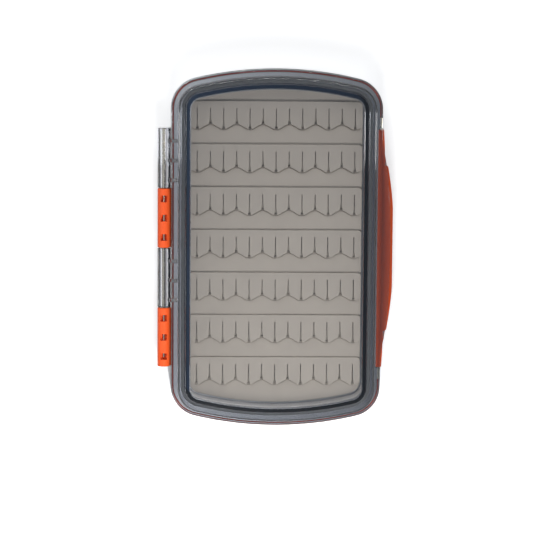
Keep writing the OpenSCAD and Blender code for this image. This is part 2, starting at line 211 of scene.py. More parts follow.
CORNER_STEPS = 14
END_STEPS = 16
SIDE_POINTS = (12, 30, 48, 60, 64.5)  # heights along the straight side that keep it flat


def outline(inset):
    """The rims' outline moved in by inset: straight sides, round corners and arched ends."""
    far = END_R - CASE_L / 2
    cx = CASE_W / 2 - CORNER_R
    cy = math.sqrt((END_R - CORNER_R) ** 2 - cx * cx) - far
    lean = math.atan2(cy + far, cx)
    quarter = [(CASE_W / 2 - inset, y) for y in SIDE_POINTS]
    for i in range(CORNER_STEPS + 1):
        angle = lean * i / CORNER_STEPS
        radius = CORNER_R - inset
        quarter.append((cx + radius * math.cos(angle), cy + radius * math.sin(angle)))
    for i in range(1, END_STEPS + 1):
        angle = lean + (math.pi / 2 - lean) * i / END_STEPS
        quarter.append(((END_R - inset) * math.cos(angle), (END_R - inset) * math.sin(angle) - far))
    side = quarter[:-1]
    return (quarter + [(-x, y) for x, y in reversed(side)]
            + [(-x, -y) for x, y in quarter] + [(x, -y) for x, y in reversed(side)])


def around(section):
    """Rings round the case for a section of (inset, height)."""
    return [[(x, y, height) for x, y in outline(inset)] for inset, height in section]


def upright_rings(points, low, high):
    """Two rings that extrude an outline from one height to another."""
    return [[(x, y, z) for x, y in points] for z in (low, high)]


def lengthwise_rings(section, low, high):
    """Two rings that extrude a section of (x, z) along the case."""
    return [[(x, y, z) for x, z in section] for y in (low, high)]


# %% [markdown]
# Holes, pockets and ribs are made as on a bench: a second solid is drawn and then cut from the
# first, or fused to it, with a Boolean modifier. A clear plastic needs this: two solids that
# only overlap would show a seam of refraction inside, where the real moulding has none.

# %% Bevel, cut and fuse
def bevel(obj, width, segments=3, angle=40):
    """Rounds the sharp edges of obj."""
    pick(obj)
    modifier = obj.modifiers.new("bevel", "BEVEL")
    modifier.width = width * MM
    modifier.segments = segments
    modifier.limit_method = "ANGLE"
    modifier.angle_limit = math.radians(angle)
    modifier.miter_outer = "MITER_ARC"
    bpy.ops.object.modifier_apply(modifier=modifier.name)
    return obj


def combine(obj, tools, operation):
    """Applies a Boolean between obj and each of the tools, which are used up."""
    for tool in tools:
        pick(obj)
        modifier = obj.modifiers.new("cut", "BOOLEAN")
        modifier.operation = operation
        modifier.solver = "EXACT"
        modifier.object = tool
        bpy.ops.object.modifier_apply(modifier=modifier.name)
        bpy.data.objects.remove(tool)
    return obj


def rod(x, z, radius, low, high, sides=48, edge=0.0):
    """A round bar along the case, with its ends rounded by edge."""
    deselect()
    bpy.ops.mesh.primitive_cylinder_add(
        vertices=sides, radius=radius * MM, depth=(high - low) * MM,
        location=((x + RIM_X) * MM, (low + high) / 2 * MM, z * MM), rotation=(math.pi / 2, 0, 0))
    obj = bpy.context.object
    obj.name = "rod"
    bpy.ops.object.transform_apply(location=True, rotation=True, scale=True)
    return bevel(obj, edge, angle=60) if edge else obj


def block(low, high, edge=0.0):
    """A bar between two corners, with its edges rounded by edge."""
    deselect()
    bpy.ops.mesh.primitive_cube_add(size=1)
    obj = bpy.context.object
    obj.name = "block"
    obj.dimensions = [(b - a) * MM for a, b in zip(low, high)]
    obj.location = [((a + b) / 2 + (RIM_X if k == 0 else 0)) * MM for k, (a, b) in enumerate(zip(low, high))]
    bpy.ops.object.transform_apply(location=True, rotation=True, scale=True)
    return bevel(obj, edge) if edge else obj


# %% [markdown]
# ## Materials
#
# Each finish starts from the real material: the clear mouldings are smoke-tinted
# polycarbonate, the insert and the gasket are silicone rubber, the seal is a soft elastomer,
# the barrels and the latch are nylon moulded in a spark-eroded tool, and the pins are drawn
# stainless wire. Colours are written as on a colour card, and one function turns them to the
# linear values that the shader works in. One small function adds a node.

# %% Colours and nodes
def linear(code):
    """A colour written as sRGB hex, in linear values."""
    channels = [int(code[k:k + 2], 16) / 255 for k in (1, 3, 5)]
    return [c / 12.92 if c <= 0.04045 else ((c + 0.055) / 1.055) ** 2.4 for c in channels] + [1]


def add(tree, kind, inputs=(), **settings):
    """Adds a node. An input that is a socket is linked, and any other one is set."""
    node = tree.nodes.new(kind)
    for name, value in settings.items():
        setattr(node, name, value)
    for name, value in dict(inputs).items():
        if isinstance(value, bpy.types.NodeSocket):
            tree.links.new(value, node.inputs[name])
        else:
            node.inputs[name].default_value = value
    return node


def new_material(name):
    """An empty material, and its tree."""
    material = bpy.data.materials.new(name)
    material.use_nodes = True
    material.node_tree.nodes.clear()
    return material, material.node_tree


def per_mm(size):
    """The scale at which a texture's features are about size millimetres wide."""
    return 1 / (size * MM)


# %% [markdown]
# ### Smoke polycarbonate
#
# The real plastic is clear all through, with a little grey-blue dye. So its surface is a plain
# refracting one, and the colour comes from the volume: a thin window stays nearly clear, and a
# thick flange goes darker, as on the real case. Light that reaches the insert would have to be
# found through the bent surfaces, which is slow and noisy, so for shadow rays and bounced
# light the surface is let through straight, while the camera still sees it refract. The rounded
# edges of the flanges bend much of that light aside, so less of it is let through there.

# %% Smoke-tinted polycarbonate, polished mould
def smoke_polycarbonate():
    material, tree = new_material("smoke_polycarbonate")
    place = add(tree, "ShaderNodeTexCoord")
    ripple = add(tree, "ShaderNodeTexNoise", {"Vector": place.outputs["Object"], "Scale": per_mm(14),
                                              "Detail": 1.0})
    wave = add(tree, "ShaderNodeBump", {"Height": ripple.outputs[0], "Strength": 0.012,
                                        "Distance": 0.2 * MM})
    plastic = add(tree, "ShaderNodeBsdfPrincipled", {
        "Base Color": (1, 1, 1, 1), "Transmission Weight": 1.0, "IOR": 1.585, "Roughness": 0.015,
        "Normal": wave.outputs[0]})
    about = add(tree, "ShaderNodeVectorMath", {0: place.outputs["Object"], 1: (RIM_X * MM, 0, 0)},
                operation="SUBTRACT")
    quarter = add(tree, "ShaderNodeVectorMath", {0: about.outputs[0]}, operation="ABSOLUTE")
    flat = add(tree, "ShaderNodeVectorMath", {0: quarter.outputs[0], 1: (1, 1, 0)}, operation="MULTIPLY")
    parts = add(tree, "ShaderNodeSeparateXYZ", {0: flat.outputs[0]})
    side = add(tree, "ShaderNodeMath", {0: CASE_W / 2 * MM, 1: parts.outputs["X"]}, operation="SUBTRACT")
    spoke = add(tree, "ShaderNodeVectorMath", {0: flat.outputs[0], 1: (0, (END_R - CASE_L / 2) * MM, 0)},
                operation="ADD")
    length = add(tree, "ShaderNodeVectorMath", {0: spoke.outputs[0]}, operation="LENGTH")
    end = add(tree, "ShaderNodeMath", {0: END_R * MM, 1: length.outputs["Value"]}, operation="SUBTRACT")
    inset = add(tree, "ShaderNodeMath", {0: side.outputs[0], 1: end.outputs[0]}, operation="MINIMUM")
    edge = add(tree, "ShaderNodeMapRange", {"Value": inset.outputs[0], "From Min": 3 * MM, "From Max": 1 * MM})
    through = add(tree, "ShaderNodeMix", {0: edge.outputs[0], 6: linear("#eeeff0"), 7: linear("#b0b1b4")},
                  data_type="RGBA")
    clear = add(tree, "ShaderNodeBsdfTransparent", {"Color": through.outputs[2]})
    path = add(tree, "ShaderNodeLightPath")
    for_bounced = add(tree, "ShaderNodeMixShader", {
        0: path.outputs["Is Diffuse Ray"], 1: plastic.outputs[0], 2: clear.outputs[0]})
    for_lamps = add(tree, "ShaderNodeMixShader", {
        0: path.outputs["Is Shadow Ray"], 1: for_bounced.outputs[0], 2: clear.outputs[0]})
    dye = add(tree, "ShaderNodeVolumeAbsorption", {"Color": linear("#abb0bc"), "Density": 75.0})
    add(tree, "ShaderNodeOutputMaterial", {"Surface": for_lamps.outputs[0], "Volume": dye.outputs[0]})
    return material


CLEAR = smoke_polycarbonate()


# %% [markdown]
# ### Silicone, elastomer, nylon
#
# These are all coloured right through and matt. What tells them apart is the gloss and the
# grain: silicone is dull with a faint mottle, the soft seal is a little shinier, and the nylon
# carries the fine pits of a spark-eroded mould. So one function makes them, from a colour, a
# roughness and the real width and depth of the grain.

# %% Coloured rubber and plastic
def coloured_polymer(name, colour, mottle, roughness, grain_mm, grain_depth_mm, mottle_mm=9):
    """A solid colour that drifts towards mottle over patches, with a fine grain pressed in it."""
    material, tree = new_material(name)
    place = add(tree, "ShaderNodeTexCoord")
    patches = add(tree, "ShaderNodeTexNoise", {"Vector": place.outputs["Object"],
                                               "Scale": per_mm(mottle_mm), "Detail": 4.0})
    tone = add(tree, "ShaderNodeMix", {0: patches.outputs[0], 6: linear(colour), 7: linear(mottle)},
               data_type="RGBA")
    grain = add(tree, "ShaderNodeTexNoise", {"Vector": place.outputs["Object"],
                                             "Scale": per_mm(grain_mm), "Detail": 2.0})
    relief = add(tree, "ShaderNodeBump", {"Height": grain.outputs[0], "Strength": 0.6,
                                          "Distance": grain_depth_mm * MM})
    gloss = add(tree, "ShaderNodeMapRange", {"Value": grain.outputs[0], "To Min": roughness - 0.07,
                                             "To Max": roughness + 0.07})
    shader = add(tree, "ShaderNodeBsdfPrincipled", {
        "Base Color": tone.outputs[2], "Roughness": gloss.outputs[0], "IOR": 1.45,
        "Normal": relief.outputs[0]})
    add(tree, "ShaderNodeOutputMaterial", {"Surface": shader.outputs[0]})
    return material


SILICONE = coloured_polymer("insert_silicone", "#bab0a3", "#b0a69a", 0.72, 0.5, 0.03)
GASKET = coloured_polymer("gasket_silicone", "#8f8d86", "#85837c", 0.6, 0.4, 0.02)
# Painted shade: the seal's orange is darkened to red-brown, for the shade it lies in under the lid's flange.
SEAL = coloured_polymer("orange_elastomer", "#c24c30", "#b8442a", 0.42, 0.3, 0.01)
NYLON = coloured_polymer("orange_nylon", "#e75b27", "#e35321", 0.48, 0.35, 0.05)
TAPE = coloured_polymer("foam_tape", "#e6e6e1", "#dcdcd6", 0.85, 0.6, 0.08)


# %% [markdown]
# ### Drawn stainless wire
#
# The pins are cut from wire that was pulled through a die, which leaves fine lines along it. A
# noise that is stretched along the wire gives the same lines, as a faint change of gloss.

# %% Stainless wire
def stainless_wire():
    material, tree = new_material("stainless_wire")
    place = add(tree, "ShaderNodeTexCoord")
    stretch = add(tree, "ShaderNodeMapping", {"Vector": place.outputs["Object"], "Scale": (1, 0.02, 1)})
    lines = add(tree, "ShaderNodeTexNoise", {"Vector": stretch.outputs[0], "Scale": per_mm(0.15)})
    gloss = add(tree, "ShaderNodeMapRange", {"Value": lines.outputs[0], "To Min": 0.08, "To Max": 0.12})
    # The gold in the wire's colour is partly the steel's own warm grey and partly a painted reflection of the
    # orange barrels round it.
    shader = add(tree, "ShaderNodeBsdfPrincipled", {
        "Base Color": linear("#e2dac8"), "Metallic": 1.0, "Roughness": gloss.outputs[0]})
    add(tree, "ShaderNodeOutputMaterial", {"Surface": shader.outputs[0]})
    return material


STEEL = stainless_wire()
print("materials:", [material.name for material in (CLEAR, SILICONE, GASKET, SEAL, NYLON, TAPE, STEEL)])


# %% [markdown]
# ## Finishing a piece
#
# A finished piece gets smooth shading with its sharp edges kept, and normals weighted by face
# area, so that a large flat face stays flat right up to its rounded edge. Then it is given its
# material, the model's node that it stands for is hidden, and it is put on that node's body.

# %% Finish a piece
def finish_piece(obj, body, node, material, angle=35):
    pick(obj)
    bpy.ops.object.shade_smooth_by_angle(angle=math.radians(angle))
    weighted = obj.modifiers.new("weighted", "WEIGHTED_NORMAL")
    weighted.keep_sharp = True
    bpy.ops.object.modifier_apply(modifier=weighted.name)
    obj.data.materials.clear()
    obj.data.materials.append(material)
    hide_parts(node)
    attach(obj, body)
    size = [round(v / MM, 1) for v in obj.dimensions]
    print(f"{obj.name}: {len(obj.data.polygons)} faces, {size} mm, on {body}")


# %% [markdown]
# ## The clear tray
#
# The tray is one moulding: a floor, a wall, and a flange round its top with a groove for the
# gasket and a step for the orange seal. All of it is one section swept round the outline, so
# it is a single loft from the middle of the underside, up the outside, over the rim and down
# the inside to the floor.

# %% Section of the tray
TRAY_INSET = 5.2
TRAY_WALL = 2.4
TRAY_FLOOR = 2.4
FLANGE_OUT = 0.5  # how far the tray's flange stands out past the lid's
FLANGE_LOW = RIM_Z - 4.6
STEP_Z = RIM_Z - 1  # the step that the seal lies on
SEAL_W = 0.6
GROOVE = (4.6, 6.3)  # the gasket's groove, from inset to inset
GROOVE_LOW = RIM_Z - 2
TRAY_IN = TRAY_INSET + TRAY_WALL
MIDDLE = 12  # an inset well inside every round, where the flat faces start

tray_section = rounded([
    (MIDDLE, 0, 0),
    (TRAY_INSET, 0, 3.2),
    (TRAY_INSET, FLANGE_LOW, 0.8),
    (-FLANGE_OUT, FLANGE_LOW, 0.5),
    (-FLANGE_OUT, STEP_Z, 0.5),
    (SEAL_INSET + SEAL_W, STEP_Z, 0.1),
    (SEAL_INSET + SEAL_W, RIM_Z, 0.2),
    (GROOVE[0], RIM_Z, 0.15),
    (GROOVE[0], GROOVE_LOW, 0.1),
    (GROOVE[1], GROOVE_LOW, 0.1),
    (GROOVE[1], RIM_Z, 0.15),
    (TRAY_IN, RIM_Z, 0.3),
    (TRAY_IN, TRAY_FLOOR, 0.8),
    (MIDDLE, TRAY_FLOOR, 0),
])
tray = loft("clear_tray", around(tray_section))
print("tray section:", len(tray_section), "points,", len(tray.data.polygons), "faces")

# %% [markdown]
# The flange makes way for the barrels of the hinge on one side and for the latch on the other.
# A rail below the barrels carries their feet, and ends in a thin tapered tail.

# %% Hinge and latch sizes
BARREL_R = 3.1
BARREL_PITCH = 28.6
BARREL_L = BARREL_PITCH - 0.3
HINGE_HALF = 2 * BARREL_PITCH
barrel_y = [HINGE_HALF - (i + 0.5) * BARREL_PITCH for i in range(4)]
FOOT_LOW = RIM_Z - BARREL_R + 0.1
FOOT_T = 1.5
FOOT_REACH = 0.8
BORE_R = 0.9
BARREL_GAP = 0.5
LATCH_L = 114.2
LATCH_GAP = 0.3
RIM = CASE_W / 2

# %% Cut the tray for the hinge and the latch
rail = loft("rail", upright_rings(
    [(1 - RIM, HINGE_HALF), (-RIM - 1.9, HINGE_HALF), (-RIM - 1.9, -HINGE_HALF),
     (-RIM - 0.5, -HINGE_HALF - 10), (1 - RIM, -HINGE_HALF - 10)], FLANGE_LOW, FOOT_LOW))
combine(tray, [bevel(rail, 0.4)], "UNION")
relief = rod(HINGE_X, RIM_Z, BARREL_R + BARREL_GAP, -HINGE_HALF - BARREL_GAP, HINGE_HALF + BARREL_GAP, sides=64)
latch_flat = block((RIM, -LATCH_L / 2, FLANGE_LOW - 1), (RIM + 5, LATCH_L / 2, RIM_Z + 1))
foot_slots = [
    block((-RIM - 3, barrel_y[i] - BARREL_L / 2 - 0.05, FOOT_LOW),
          (FOOT_REACH - RIM + 0.05, barrel_y[i] + BARREL_L / 2 + 0.05, FOOT_LOW + FOOT_T + 0.05))
    for i in (1, 3)]
combine(tray, [relief, latch_flat] + foot_slots, "DIFFERENCE")
finish_piece(tray, "tray", "tray_shell", CLEAR)

# %% [markdown]
# ## The clear lid
#
# The lid is a second sweep of the same outline: from the middle of the window's underside, down
# its inside wall, round the bead that presses on the gasket, out along the flange, and up over
# the raised window. The wide round on the window's edge is the bright ring in the photograph.

# %% Section of the lid
LID_Z = RIM_Z + 0.1
FLANGE_TOP = LID_Z + 4.5
LID_INSET = 3.1
WINDOW_T = 2.2
LID_IN = 6.8
LID_BEVEL = 2.2  # the slope inside, between the wall and the window
BEAD_Z = RIM_Z - 0.3

lid_section = rounded([
    (MIDDLE, CASE_H - WINDOW_T, 0),
    (LID_IN + LID_BEVEL, CASE_H - WINDOW_T, 0.8),
    (LID_IN, CASE_H - WINDOW_T - LID_BEVEL, 0.5),
    (LID_IN, LID_Z, 0.2),
    (GROOVE[1] - 0.2, LID_Z, 0.1),
    (GROOVE[1] - 0.2, BEAD_Z, 0.15),
    (GROOVE[0] + 0.2, BEAD_Z, 0.15),
    (GROOVE[0] + 0.2, LID_Z, 0.1),
    (0, LID_Z, 0.5),
    (0, FLANGE_TOP, 0.5),
    (LID_INSET, FLANGE_TOP, 0.3),
    (LID_INSET, CASE_H, 1.3),
    (MIDDLE, CASE_H, 0),
])
lid = loft("clear_lid", around(lid_section))
print("lid section:", len(lid_section), "points,", len(lid.data.polygons), "faces")

# %% [markdown]
# Two clear knuckles carry the lid on the pin. Each is a barrel with an arm that reaches over
# the tray's rim. Pockets are cored out between three gussets, so that the thick plastic doesn't
# sink, and the gussets run on up the wall of the window.

# %% Knuckles and gussets
GUSSET_T = 1.9
GUSSET_PITCH = 9.3
GUSSET_SHIFT = 1.1
GUSSET_RISE = 3
CORE_DEPTH = 1.8
CORE_WALL = 1.2


def knuckle(i):
    y = barrel_y[i]
    low = y - BARREL_L / 2
    high = y + BARREL_L / 2
    middle = y - GUSSET_SHIFT
    arm_top = RIM_Z + BARREL_R - 0.01
    solid = rod(HINGE_X, RIM_Z, BARREL_R, low, high, sides=64, edge=0.35)
    arm = bevel(loft("arm", lengthwise_rings(
        [(HINGE_X, LID_Z), (1 - RIM, LID_Z), (1 - RIM, arm_top), (HINGE_X, arm_top)], low, high)), 0.3)
    combine(solid, [arm], "UNION")
    pockets = []
    for k in range(4):
        centre = middle + (k - 1.5) * GUSSET_PITCH
        half = (GUSSET_PITCH - GUSSET_T) / 2
        pockets.append(block(
            (HINGE_X + BORE_R + CORE_WALL / 2, max(centre - half, low + CORE_WALL), RIM_Z + BARREL_R - CORE_DEPTH),
            (-RIM - CORE_WALL / 4, min(centre + half, high - CORE_WALL), RIM_Z + 9), edge=0.3))
    combine(solid, pockets, "DIFFERENCE")
    ribs = []
    foot = HINGE_X + BARREL_R / 2
    head = LID_INSET + (LID_IN - LID_INSET) / 2 - RIM
    for k in (-1, 0, 1):
        centre = middle + k * GUSSET_PITCH
        rib = loft("gusset", lengthwise_rings(
            [(foot, RIM_Z + BARREL_R / 2), (head, RIM_Z + BARREL_R / 2), (head, FLANGE_TOP + GUSSET_RISE),
             (foot, RIM_Z + BARREL_R)], centre - GUSSET_T / 2, centre + GUSSET_T / 2))
        ribs.append(bevel(rib, 0.7))
    return combine(solid, ribs, "UNION")


# %% [markdown]
# On the other side the flange grows a thin brow over the latch, which swells into a thumb lip
# shaped like a lens, and two ears that hold the ends of the latch's pin. They are fused to the
# lid, and the space for the latch is then cut out below the brow.

# %% Brow, lip and ears
POCKET_X = LATCH_X - 1.3 - LATCH_GAP
POCKET_TOP = LATCH_Z + 1.3 + LATCH_GAP
BROW_OUT = 0.2
LIP_OUT = 3.9
LIP_L = 100
EAR_L = 7.9
EAR_OUT = 0.1


def brow_edge(y):
    return RIM + BROW_OUT + LIP_OUT * (1 - min(1, abs(2 * y / LIP_L)) ** 3)


brow_half = LATCH_L / 2 + 1
brow_line = [(brow_edge(brow_half * k / 32), brow_half * k / 32) for k in range(-32, 33)]
brow = bevel(loft("brow", upright_rings(
    [(POCKET_X - 1, -brow_half)] + brow_line + [(POCKET_X - 1, brow_half)], POCKET_TOP, FLANGE_TOP)), 0.4)
ears = []
for side in (-1, 1):
    near = LATCH_L / 2 * side
    far = (LATCH_L / 2 + EAR_L) * side
    taper = EAR_L / 4 * side
    ears.append(bevel(loft("ear", upright_rings(
        [(POCKET_X - 1, near), (RIM + EAR_OUT, near), (RIM + EAR_OUT, far - taper), (RIM - 1, far + taper)],
        LID_Z, FLANGE_TOP)), 0.4))
combine(lid, [knuckle(0), knuckle(2), brow] + ears, "UNION")
pocket = block((POCKET_X, -LATCH_L / 2, LID_Z - 1), (RIM + 8, LATCH_L / 2, POCKET_TOP), edge=0.2)
pin_bores = [rod(HINGE_X, RIM_Z, BORE_R, -HINGE_HALF - 1, HINGE_HALF + 1, sides=40),
             rod(LATCH_X, LATCH_Z, 0.65, -LATCH_L / 2 - 5.6, LATCH_L / 2 + 5.6, sides=32)]
combine(lid, [pocket] + pin_bores, "DIFFERENCE")
finish_piece(lid, "lid", "lid_shell", CLEAR)

# %% [markdown]
# ## The silicone insert
#
# The insert is a soft mat with seven ridges. A fly's hook is pushed into one of the slits in a
# ridge. The ridge rises from its back edge to its front, and the front is scalloped, with a
# sharp notch at every second slit. One outline holds the scallops and all the slits, and
# extruding it gives the ridge. It is made once and copied seven times.

# %% Sizes of the insert
INSERT_IN = TRAY_IN + 0.4
INSERT_LOW = TRAY_FLOOR + 0.2
INSERT_T = 2.4
RIDGE_Z = INSERT_LOW + INSERT_T
RIDGE_L = 13.4
RIDGE_BACK_H = 1.5
RIDGE_FRONT_H = 3.0
RIDGE_HALF = RIM - INSERT_IN - 0.2
ROWS = 7
ROW_PITCH = 20.7
ROW_SHIFT = 0.8
SLITS = 13
SLIT_PITCH = 6.33
SLIT_W = 0.35
SLIT_START = 3.4
MOUTH_W = 1.4
MOUTH_L = 3.2
SCALLOP = 2.5
MOAT_W = 0.7  # a narrow moat with a sloping side sets each ridge off from the mat
MOAT_BACK = -0.1  # it stops short of the back edge
MOAT_DEPTH = 1.0
MOAT_IN = 0.35  # from here inwards the slits and their mouths run deep into the mat
SLIT_DEPTH = 2.1


def front_edge(x):
    """How far the front of a ridge lies from its back edge, in soft waves two slits long."""
    return RIDGE_L - SCALLOP * (1 - math.cos(math.pi * x / SLIT_PITCH)) / 2


# %% One ridge
def ridge_outline():
    """From above, round from the left end of the front: scallops, slits with flared mouths, and the back."""
    points = []
    slit_x = [(k - (SLITS - 1) / 2) * SLIT_PITCH for k in range(SLITS)]
    edges = [-RIDGE_HALF + 1.5] + slit_x + [RIDGE_HALF - 1.5]
    for left, right in zip(edges[:-1], edges[1:]):
        start = left + (MOUTH_W / 2 if left in slit_x else 0)
        end = right - (MOUTH_W / 2 if right in slit_x else 0)
        steps = 8
        for i in range(steps + 1):
            x = start + (end - start) * i / steps
            points.append((x, -front_edge(x)))
        if right in slit_x:
            neck = MOUTH_L - front_edge(right)
            points += [(right - SLIT_W / 2, neck), (right - SLIT_W / 2, -SLIT_START),
                       (right + SLIT_W / 2, -SLIT_START), (right + SLIT_W / 2, neck)]
    end_front = -front_edge(RIDGE_HALF - 1.5)
    right_end = rounded([(RIDGE_HALF - 1.5, end_front, 0), (RIDGE_HALF, end_front, 1.2),
                         (RIDGE_HALF, 0, 1.7), (0, 0, 0)])[1:-1]
    left_end = [(-x, y) for x, y in reversed(right_end)]
    return points + [(x, y) for x, y in right_end] + left_end


def ridge_top(y):
    return RIDGE_Z + RIDGE_BACK_H - (RIDGE_FRONT_H - RIDGE_BACK_H) * y / (RIDGE_L + 1)


ridge_points = ridge_outline()
ridge = loft("ridge", [[(x, y, RIDGE_Z - SLIT_DEPTH - 0.1) for x, y in ridge_points],
                       [(x, y, ridge_top(y)) for x, y in ridge_points]])
bevel(ridge, 0.16, segments=2, angle=50)


def moat_ring(front, back, z):
    """The outline of the moat at height z, by how far it reaches past the front and the back."""
    half = RIDGE_HALF + front
    return ([(half * k / 40, -front_edge(half * k / 40) - front, z) for k in range(-40, 41)]
            + [(half, back, z), (-half, back, z)])


moat = loft("moat", [moat_ring(-MOAT_IN, -MOAT_IN, RIDGE_Z - SLIT_DEPTH),
                     moat_ring(-MOAT_IN, -MOAT_IN, RIDGE_Z - MOAT_DEPTH),
                     moat_ring(MOAT_W, MOAT_BACK, RIDGE_Z), moat_ring(MOAT_W, MOAT_BACK, RIDGE_Z + 1)])
print("ridge:", len(ridge.data.polygons), "faces")

# %% Copy the ridge and fuse the copies to the mat
mat_section = rounded([(MIDDLE, INSERT_LOW, 0), (INSERT_IN, INSERT_LOW, 0.3), (INSERT_IN, RIDGE_Z, 0.4),
                       (MIDDLE, RIDGE_Z, 0)])
insert = loft("silicone_insert", around(mat_section))


def copies(obj):
    """One copy of obj for each row, at the row's back edge, in place of obj."""
    made = []
    for i in range(ROWS):
        copy = obj.copy()
        copy.data = obj.data.copy()
        bpy.context.collection.objects.link(copy)
        pick(copy)
        back = ROW_SHIFT + ((ROWS - 1) / 2 - i) * ROW_PITCH + RIDGE_L / 2
        bpy.ops.transform.translate(value=(0, back * MM, 0))
        bpy.ops.object.transform_apply(location=True, rotation=True, scale=True)
        made.append(copy)
    bpy.data.objects.remove(obj)
    return made


combine(insert, copies(moat), "DIFFERENCE")
combine(insert, copies(ridge), "UNION")
finish_piece(insert, "tray", "slit_insert", SILICONE, angle=40)

# %% [markdown]
# ## Seals
#
# The gasket is a grey silicone cord in the tray's groove, and the orange seal a thin band
# round the edge. Both are closed lofts: a small section goes round the outline and returns to
# where it started.

# %% Gasket and edge seal
gasket_section = rounded([(GROOVE[0] + 0.05, GROOVE_LOW, 0.15), (GROOVE[0] + 0.05, GROOVE_LOW + 1.6, 0.6),
                          (GROOVE[1] - 0.05, GROOVE_LOW + 1.6, 0.6), (GROOVE[1] - 0.05, GROOVE_LOW, 0.15)],
                         closed=True)
gasket = loft("gasket_ring", around(gasket_section), closed=True)
finish_piece(gasket, "tray", "rim_gasket", GASKET)

seal_out = SEAL_INSET + SEAL_W - 0.05
seal_section = rounded([(SEAL_INSET, STEP_Z, 0.25), (SEAL_INSET, RIM_Z, 0.25),
                        (seal_out, RIM_Z, 0.1), (seal_out, STEP_Z, 0.1)], closed=True)
seal = loft("seal_ring", around(seal_section), closed=True)
finish_piece(seal, "tray", "edge_seal", SEAL)

# %% [markdown]
# ## Orange barrels and the pin
#
# The tray's half of the hinge is two orange barrels with three square windows each, through
# which the steel pin shows. A foot under each barrel sits in a slot in the tray's flange. The
# pin stops short of the end of the lower barrel, so its last window shows the pin's end.

# %% Barrels with windows and feet
def orange_barrel(name, i):
    y = barrel_y[i]
    barrel = rod(HINGE_X, RIM_Z, BARREL_R, y - BARREL_L / 2, y + BARREL_L / 2, sides=64, edge=0.4)
    barrel.name = barrel.data.name = name
    foot = block((HINGE_X, y - BARREL_L / 2, FOOT_LOW), (FOOT_REACH - RIM, y + BARREL_L / 2, FOOT_LOW + FOOT_T),
                 edge=0.25)
    combine(barrel, [foot], "UNION")
    windows = [block((HINGE_X - 1.55, y + k * 9.2 - 1.6, RIM_Z), (HINGE_X + 1.55, y + k * 9.2 + 1.6, RIM_Z + 5),
                     edge=0.25) for k in (-1, 0, 1)]
    bore = rod(HINGE_X, RIM_Z, BORE_R, y - BARREL_L, y + BARREL_L, sides=40)
    return combine(barrel, windows + [bore], "DIFFERENCE")


finish_piece(orange_barrel("upper_orange_barrel", 1), "tray", "upper_hinge_barrel", NYLON)
finish_piece(orange_barrel("lower_orange_barrel", 3), "tray", "lower_hinge_barrel", NYLON)

# %% Pins
hinge_wire = rod(HINGE_X, RIM_Z, 0.85, 4.4 - HINGE_HALF, HINGE_HALF - 0.3, sides=40, edge=0.2)
hinge_wire.name = hinge_wire.data.name = "hinge_wire"
finish_piece(hinge_wire, "tray", "hinge_pin", STEEL)
latch_wire = rod(LATCH_X, LATCH_Z, 0.6, -LATCH_L / 2 - 5.55, LATCH_L / 2 + 5.55, sides=32, edge=0.15)
latch_wire.name = latch_wire.data.name = "latch_wire"
finish_piece(latch_wire, "lid", "latch_pin", STEEL)

# %% [markdown]
# ## The orange latch
#
# The latch is a long strip that turns on its pin under the brow, with a toe that snaps under
# the tray's flange. Its middle bows out into a grip, with a hollow under it for a finger. Its
# section changes along its length, so it is a loft of sections: each has the same corners, and
# only the outer face moves out and in.

# %% Sections of the latch
GRIP_L = 79
GRIP_FLAT = 36
GRIP_OUT = 6.0
GRIP_END_OUT = 3.2
STRIP_OUT = 1.5
LATCH_LOW = 13
LATCH_BACK = RIM + LATCH_GAP + 0.2
latch_half = LATCH_L / 2 - LATCH_GAP


def strip_edge(y):
    t = max(0, abs(y) - GRIP_L / 2) / (LATCH_L / 2 - GRIP_L / 2)
    return RIM + STRIP_OUT - 0.7 * t * t


def grip_edge(y):
    t = max(0, (abs(y) - GRIP_FLAT / 2) / (GRIP_L / 2 - GRIP_FLAT / 2))
    return RIM + GRIP_OUT - (GRIP_OUT - GRIP_END_OUT) * t ** 1.5


def latch_section(y, edge):
    """The latch cut across at y, with its outer face at x = edge."""
    reach = LATCH_X + 1.3 * math.cos(math.pi / 4)
    shoulder = LATCH_Z + 1.3 * math.sin(math.pi / 4)
    barrel = [(LATCH_X + 1.3 * math.cos(a), LATCH_Z + 1.3 * math.sin(a))
              for a in [math.pi * (0.25 + 1.25 * k / 14) for k in range(15)]]
    back = LATCH_BACK
    slope_end = shoulder - (edge - reach)
    small = 0.25 * (edge - back)
    outer = rounded([
        (LATCH_X + 0.2, LATCH_Z - 1.3, 0), (back, LATCH_Z - 1.3, 0.1), (back, 15.1, 0.1), (back - 0.2, 14.8, 0.1),
        (back - 0.2, 13.7, 0.2), (back, LATCH_LOW, 0.2), (edge, LATCH_LOW, min(1.2, small * 1.6)),
        (edge, slope_end, min(1.4, small * 1.6)), (reach + 0.02, shoulder - 0.02, 0)])
    return [(x, y, z) for x, z in barrel + [(p[0], p[1]) for p in outer]]


stations = []
for k in range(-40, 41):
    y = latch_half * k / 40
    if abs(abs(y) - GRIP_L / 2) > 0.6:
        stations.append((y, grip_edge(y) if abs(y) < GRIP_L / 2 else strip_edge(y)))
for side in (-1, 1):
    stations.append((side * GRIP_L / 2, grip_edge(GRIP_L / 2) - 0.3))
    stations.append((side * (GRIP_L / 2 - 0.3), grip_edge(GRIP_L / 2 - 0.3)))
    stations.append((side * (GRIP_L / 2 + 0.1), strip_edge(GRIP_L / 2)))
stations.sort()
latch = loft("orange_latch", [latch_section(y, edge) for y, edge in stations])

